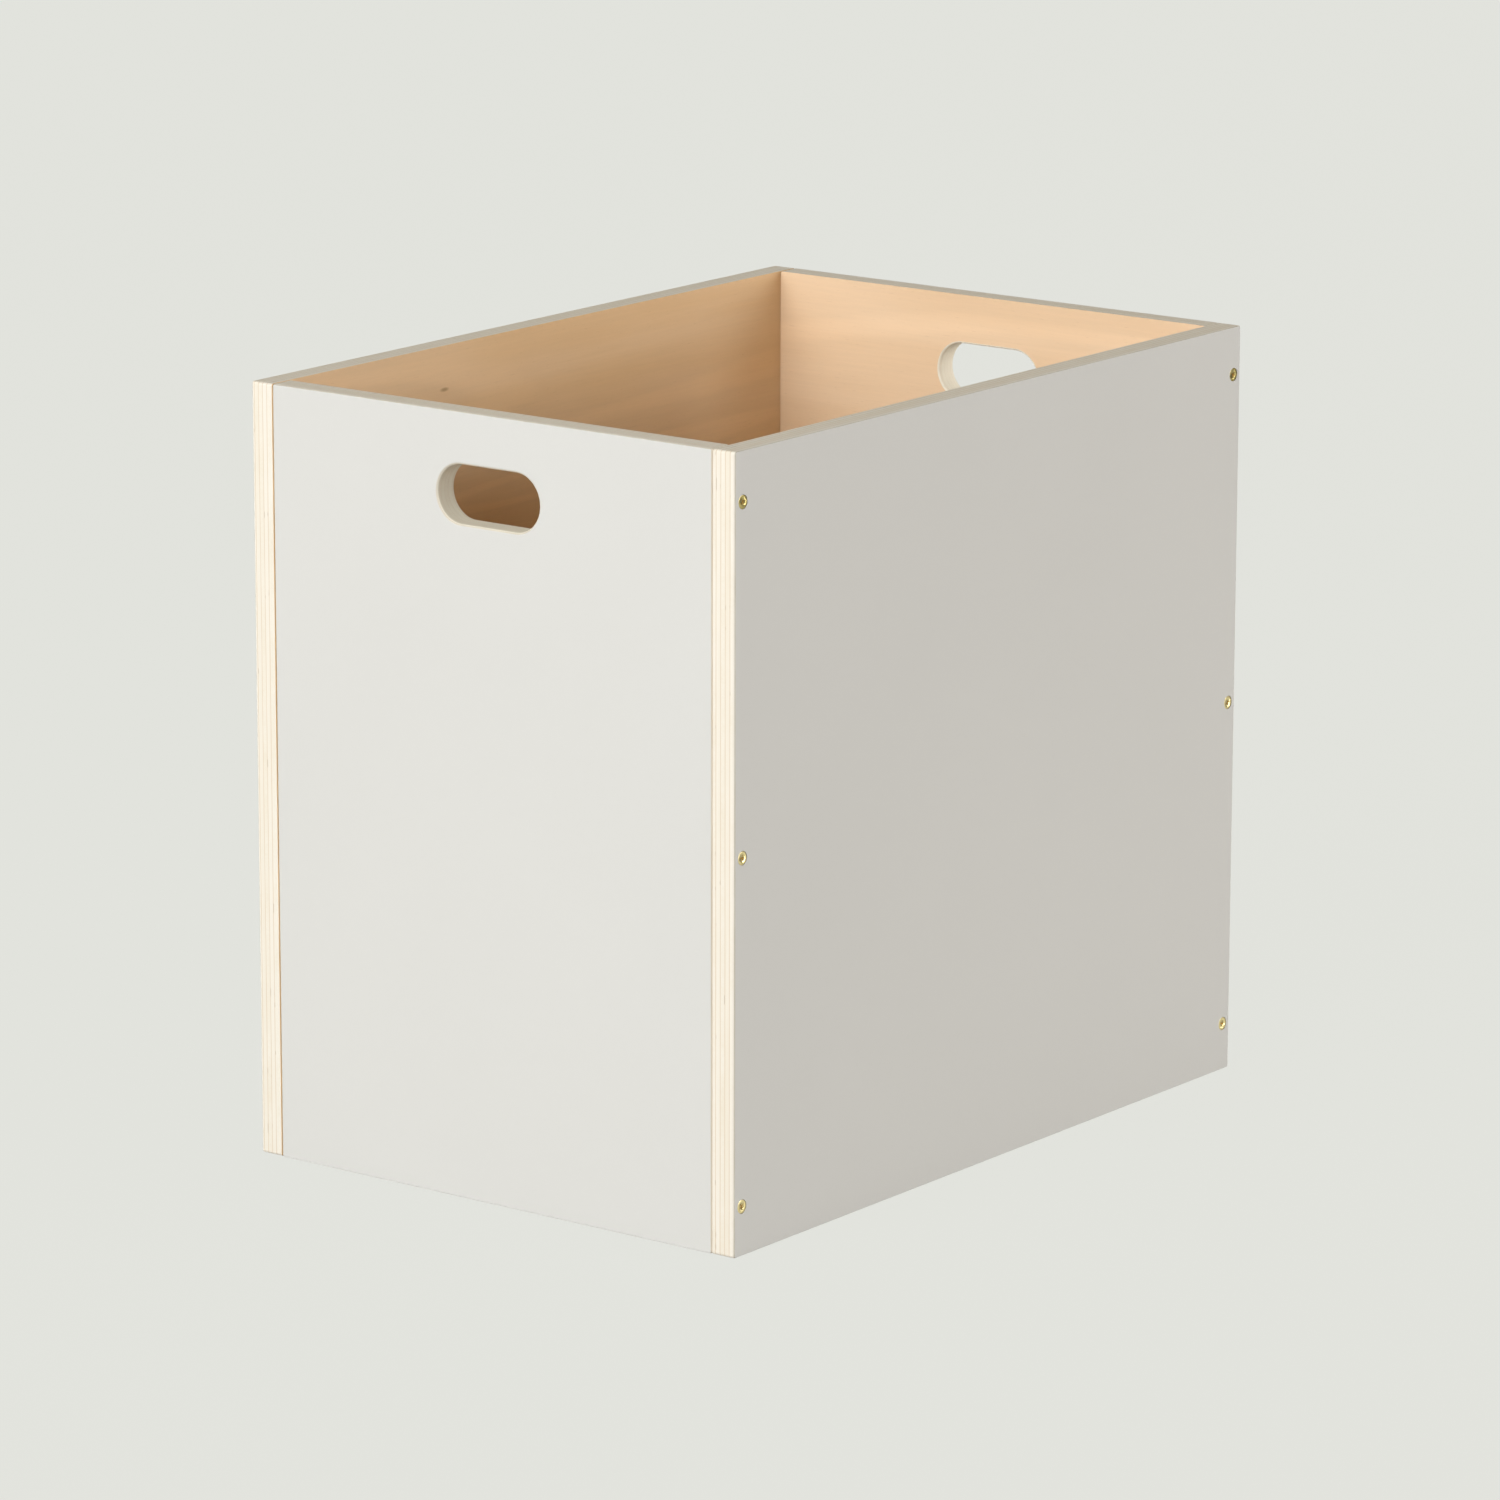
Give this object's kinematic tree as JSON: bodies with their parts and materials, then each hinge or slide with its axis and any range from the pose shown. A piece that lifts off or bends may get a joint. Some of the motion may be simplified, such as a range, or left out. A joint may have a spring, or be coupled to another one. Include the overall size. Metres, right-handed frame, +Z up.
{
  "type": "plywood storage box",
  "caption": "Open-top storage box of white-faced plywood with bare board edges, a finger slot in each end and countersunk brass screws at the corners.",
  "frame": {"origin": "floor level, in the middle of the box's footprint", "axes": "+Z up, X across the end boards, Y along the side boards, with the front end board facing -Y"},
  "size_m": [0.265, 0.38, 0.35],
  "materials": {
    "plywood": "fine-sanded, unfinished",
    "bottom_plywood": "fine-sanded, unfinished",
    "laminate": "satin",
    "brass": "satin, lightly worn"
  },
  "bodies": {
    "root": {"front_board": "plywood", "front_face_sheet": "laminate", "rear_board": "plywood", "rear_face_sheet": "laminate", "right_board": "plywood", "right_face_sheet": "laminate", "left_board": "plywood", "left_face_sheet": "laminate", "bottom_board": "bottom_plywood", "screw_right_front_bottom": "brass", "screw_right_front_middle": "brass", "screw_right_front_top": "brass", "screw_right_rear_bottom": "brass", "screw_right_rear_middle": "brass", "screw_right_rear_top": "brass", "screw_left_front_bottom": "brass", "screw_left_front_middle": "brass", "screw_left_front_top": "brass", "screw_left_rear_bottom": "brass", "screw_left_rear_middle": "brass", "screw_left_rear_top": "brass"}
  },
  "joints": []
}
